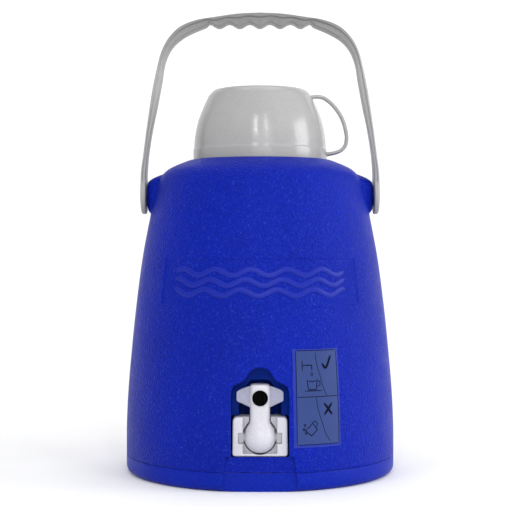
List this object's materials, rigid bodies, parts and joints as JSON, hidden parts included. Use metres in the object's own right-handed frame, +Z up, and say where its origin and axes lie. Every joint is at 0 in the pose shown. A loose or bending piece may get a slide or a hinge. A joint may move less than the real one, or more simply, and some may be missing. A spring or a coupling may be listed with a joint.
{
  "type": "beverage dispenser",
  "caption": "Insulated upright water jug with a recessed swivelling tap, a stopper under an inverted drinking cup, and a swinging bail handle.",
  "frame": {"origin": "middle of the flat underside of the base, on the surface that the jug stands on", "axes": "+Z up, -Y towards the tap at the front, +X to the right as seen from the front"},
  "size_m": [0.241, 0.2404, 0.4119],
  "materials": {
    "blue_shell": "satin",
    "blue_base": "satin",
    "grey_plastic": "satin",
    "dark_grey_plastic": "satin",
    "white_plastic": "satin",
    "liner": "satin",
    "foam": "matte",
    "seal_rubber": "matte",
    "label_film": "satin"
  },
  "bodies": {
    "jug": {"outer_shell": "blue_shell", "base_plate": "blue_base", "foam_fill_plug": "dark_grey_plastic", "inner_liner": "liner", "foam_insulation": "foam", "neck_collar": "blue_base", "neck_gasket": "seal_rubber", "pivot_insert_left": "dark_grey_plastic", "pivot_insert_right": "dark_grey_plastic", "pivot_pin_left": "grey_plastic", "pivot_pin_right": "grey_plastic", "tap_housing": "white_plastic", "tap_outer_gasket": "seal_rubber", "tap_inner_gasket": "seal_rubber", "tap_lock_nut": "white_plastic", "valve_seat_ring": "seal_rubber", "trunnion_keeper_left": "grey_plastic", "trunnion_keeper_right": "grey_plastic", "instruction_label": "label_film"},
    "handle": {"bail_handle": "grey_plastic"},
    "spout": {"tap_spout": "white_plastic"},
    "stopper": {"stopper_body": "white_plastic", "stopper_gasket": "seal_rubber", "stopper_core_foam": "foam", "stopper_bottom_disc": "white_plastic"},
    "cup": {"drinking_cup": "grey_plastic"}
  },
  "joints": [
    {"name": "handle_swing", "type": "hinge", "parent": "jug", "child": "handle", "pos_m": [0, 0, 0.249], "axis": [1, 0, 0], "range_deg": [-122, 122]},
    {"name": "spout_turn", "type": "hinge", "parent": "jug", "child": "spout", "pos_m": [0, -0.1065, 0.0441], "axis": [1, 0, 0], "range_deg": [0, 90]},
    {"name": "stopper_lift", "type": "slide", "parent": "jug", "child": "stopper", "axis": [0, 0, 1], "range_m": [0, 0.048]},
    {"name": "cup_lift", "type": "slide", "parent": "stopper", "child": "cup", "axis": [0, 0, 1], "range_m": [0, 0.048]}
  ]
}
